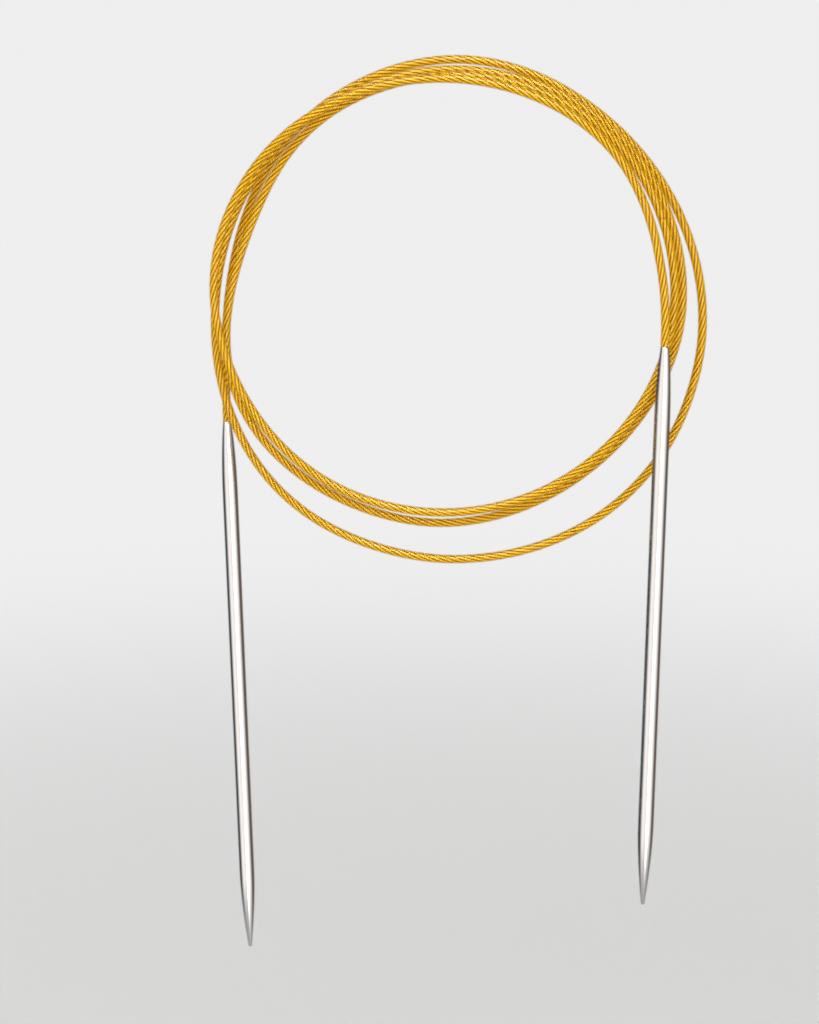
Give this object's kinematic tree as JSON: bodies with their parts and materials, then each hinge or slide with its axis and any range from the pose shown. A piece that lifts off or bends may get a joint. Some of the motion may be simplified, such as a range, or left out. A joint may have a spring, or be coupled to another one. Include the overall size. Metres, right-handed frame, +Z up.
{
  "type": "circular knitting needle",
  "caption": "Two polished hollow steel needles joined by one long amber nylon-coated wire-rope cable, wound in a coil, for knitting in the round.",
  "frame": {"origin": "centre of the cable coil", "axes": "+Z up, the needles hang towards -Z; the coil lies in the XZ plane; the right needle hangs in front, on the -Y side, and the left one behind"},
  "size_m": [0.0964, 0.0134, 0.182],
  "materials": {
    "polished_steel": "mirror-polished stainless steel",
    "brass_ferrule": "turned and crimped brass",
    "wire_rope": "bright drawn steel wire",
    "nylon_jacket": "clear amber nylon, glossy"
  },
  "bodies": {
    "left_stub": {"left_stub_rope": "wire_rope", "left_stub_jacket": "nylon_jacket", "left_anchor_ferrule": "brass_ferrule"},
    "left_lead": {"left_lead_rope": "wire_rope", "left_lead_jacket": "nylon_jacket"},
    "coil_01": {"coil_01_rope": "wire_rope", "coil_01_jacket": "nylon_jacket"},
    "coil_02": {"coil_02_rope": "wire_rope", "coil_02_jacket": "nylon_jacket"},
    "coil_03": {"coil_03_rope": "wire_rope", "coil_03_jacket": "nylon_jacket"},
    "coil_04": {"coil_04_rope": "wire_rope", "coil_04_jacket": "nylon_jacket"},
    "coil_05": {"coil_05_rope": "wire_rope", "coil_05_jacket": "nylon_jacket"},
    "coil_06": {"coil_06_rope": "wire_rope", "coil_06_jacket": "nylon_jacket"},
    "coil_07": {"coil_07_rope": "wire_rope", "coil_07_jacket": "nylon_jacket"},
    "coil_08": {"coil_08_rope": "wire_rope", "coil_08_jacket": "nylon_jacket"},
    "coil_09": {"coil_09_rope": "wire_rope", "coil_09_jacket": "nylon_jacket"},
    "coil_10": {"coil_10_rope": "wire_rope", "coil_10_jacket": "nylon_jacket"},
    "coil_11": {"coil_11_rope": "wire_rope", "coil_11_jacket": "nylon_jacket"},
    "coil_12": {"coil_12_rope": "wire_rope", "coil_12_jacket": "nylon_jacket"},
    "coil_13": {"coil_13_rope": "wire_rope", "coil_13_jacket": "nylon_jacket"},
    "right_lead": {"right_lead_rope": "wire_rope", "right_lead_jacket": "nylon_jacket"},
    "right_stub": {"right_stub_rope": "wire_rope", "right_stub_jacket": "nylon_jacket", "right_anchor_ferrule": "brass_ferrule"},
    "left_needle": {"left_needle": "polished_steel"},
    "right_needle": {"right_needle": "polished_steel"}
  },
  "joints": [
    {"name": "coil_opening", "type": "hinge", "parent": "coil_07", "child": "coil_08", "pos_m": [-0.01142, -0.00021, -0.041], "axis": [0, -1, 0], "range_deg": [-4, 12], "stiffness_Nm_per_rad": 0.02},
    {"name": "coil_opening_09", "type": "hinge", "parent": "coil_08", "child": "coil_09", "pos_m": [-0.04184, -0.00093, 0.01131], "axis": [0, -1, 0], "range_deg": [-4, 12]},
    {"name": "coil_opening_10", "type": "hinge", "parent": "coil_09", "child": "coil_10", "pos_m": [0.01375, -0.00168, 0.04222], "axis": [0, -1, 0], "range_deg": [-4, 12]},
    {"name": "coil_opening_11", "type": "hinge", "parent": "coil_10", "child": "coil_11", "pos_m": [0.03605, -0.00245, -0.01571], "axis": [0, -1, 0], "range_deg": [-4, 12]},
    {"name": "coil_opening_12", "type": "hinge", "parent": "coil_11", "child": "coil_12", "pos_m": [-0.02603, -0.00329, -0.03315], "axis": [0, -1, 0], "range_deg": [-4, 12]},
    {"name": "coil_opening_13", "type": "hinge", "parent": "coil_12", "child": "coil_13", "pos_m": [-0.03732, -0.00401, 0.02822], "axis": [0, -1, 0], "range_deg": [-4, 12]},
    {"name": "coil_opening_06", "type": "hinge", "parent": "coil_07", "child": "coil_06", "pos_m": [0.04196, 0.0006, -0.00347], "axis": [0, 1, 0], "range_deg": [-4, 12]},
    {"name": "coil_opening_05", "type": "hinge", "parent": "coil_06", "child": "coil_05", "pos_m": [0.00208, 0.00135, 0.04514], "axis": [0, 1, 0], "range_deg": [-4, 12]},
    {"name": "coil_opening_04", "type": "hinge", "parent": "coil_05", "child": "coil_04", "pos_m": [-0.04796, 0.00206, 0.00371], "axis": [0, 1, 0], "range_deg": [-4, 12]},
    {"name": "coil_opening_03", "type": "hinge", "parent": "coil_04", "child": "coil_03", "pos_m": [-0.01197, 0.00271, -0.04862], "axis": [0, 1, 0], "range_deg": [-4, 12]},
    {"name": "coil_opening_02", "type": "hinge", "parent": "coil_03", "child": "coil_02", "pos_m": [0.04414, 0.00339, -0.01522], "axis": [0, 1, 0], "range_deg": [-4, 12]},
    {"name": "coil_opening_01", "type": "hinge", "parent": "coil_02", "child": "coil_01", "pos_m": [0.0156, 0.00411, 0.04344], "axis": [0, 1, 0], "range_deg": [-4, 12]},
    {"name": "left_swing", "type": "hinge", "parent": "coil_01", "child": "left_lead", "pos_m": [-0.04257, 0.00482, 0.01713], "axis": [0, 1, 0], "range_deg": [-25, 45], "stiffness_Nm_per_rad": 0.02},
    {"name": "left_tilt", "type": "hinge", "parent": "left_lead", "child": "left_stub", "pos_m": [-0.04736, 0.00512, -0.01032], "axis": [0.9994, 0, -0.0335], "range_deg": [0, 50], "stiffness_Nm_per_rad": 0.02},
    {"name": "left_roll", "type": "hinge", "parent": "left_stub", "child": "left_needle", "pos_m": [-0.04732, 0.00521, -0.02432], "axis": [0.0297, 0, -0.9996], "range_deg": [-180, 180]},
    {"name": "right_swing", "type": "hinge", "parent": "coil_13", "child": "right_lead", "pos_m": [0.02718, -0.00473, 0.03382], "axis": [0, -1, 0], "range_deg": [-25, 45], "stiffness_Nm_per_rad": 0.02},
    {"name": "right_tilt", "type": "hinge", "parent": "right_lead", "child": "right_stub", "pos_m": [0.03932, -0.00513, 0.00923], "axis": [-0.9874, 0, -0.1583], "range_deg": [0, 50], "stiffness_Nm_per_rad": 0.02},
    {"name": "right_roll", "type": "hinge", "parent": "right_stub", "child": "right_needle", "pos_m": [0.04022, -0.00521, -0.00473], "axis": [-0.0192, 0, -0.9998], "range_deg": [-180, 180]}
  ],
  "couplings": [
    {"joint": "coil_opening_09", "follows": "coil_opening", "ratio": 1},
    {"joint": "coil_opening_10", "follows": "coil_opening", "ratio": 1},
    {"joint": "coil_opening_11", "follows": "coil_opening", "ratio": 1},
    {"joint": "coil_opening_12", "follows": "coil_opening", "ratio": 1},
    {"joint": "coil_opening_13", "follows": "coil_opening", "ratio": 1},
    {"joint": "coil_opening_06", "follows": "coil_opening", "ratio": 1},
    {"joint": "coil_opening_05", "follows": "coil_opening", "ratio": 1},
    {"joint": "coil_opening_04", "follows": "coil_opening", "ratio": 1},
    {"joint": "coil_opening_03", "follows": "coil_opening", "ratio": 1},
    {"joint": "coil_opening_02", "follows": "coil_opening", "ratio": 1},
    {"joint": "coil_opening_01", "follows": "coil_opening", "ratio": 1}
  ]
}
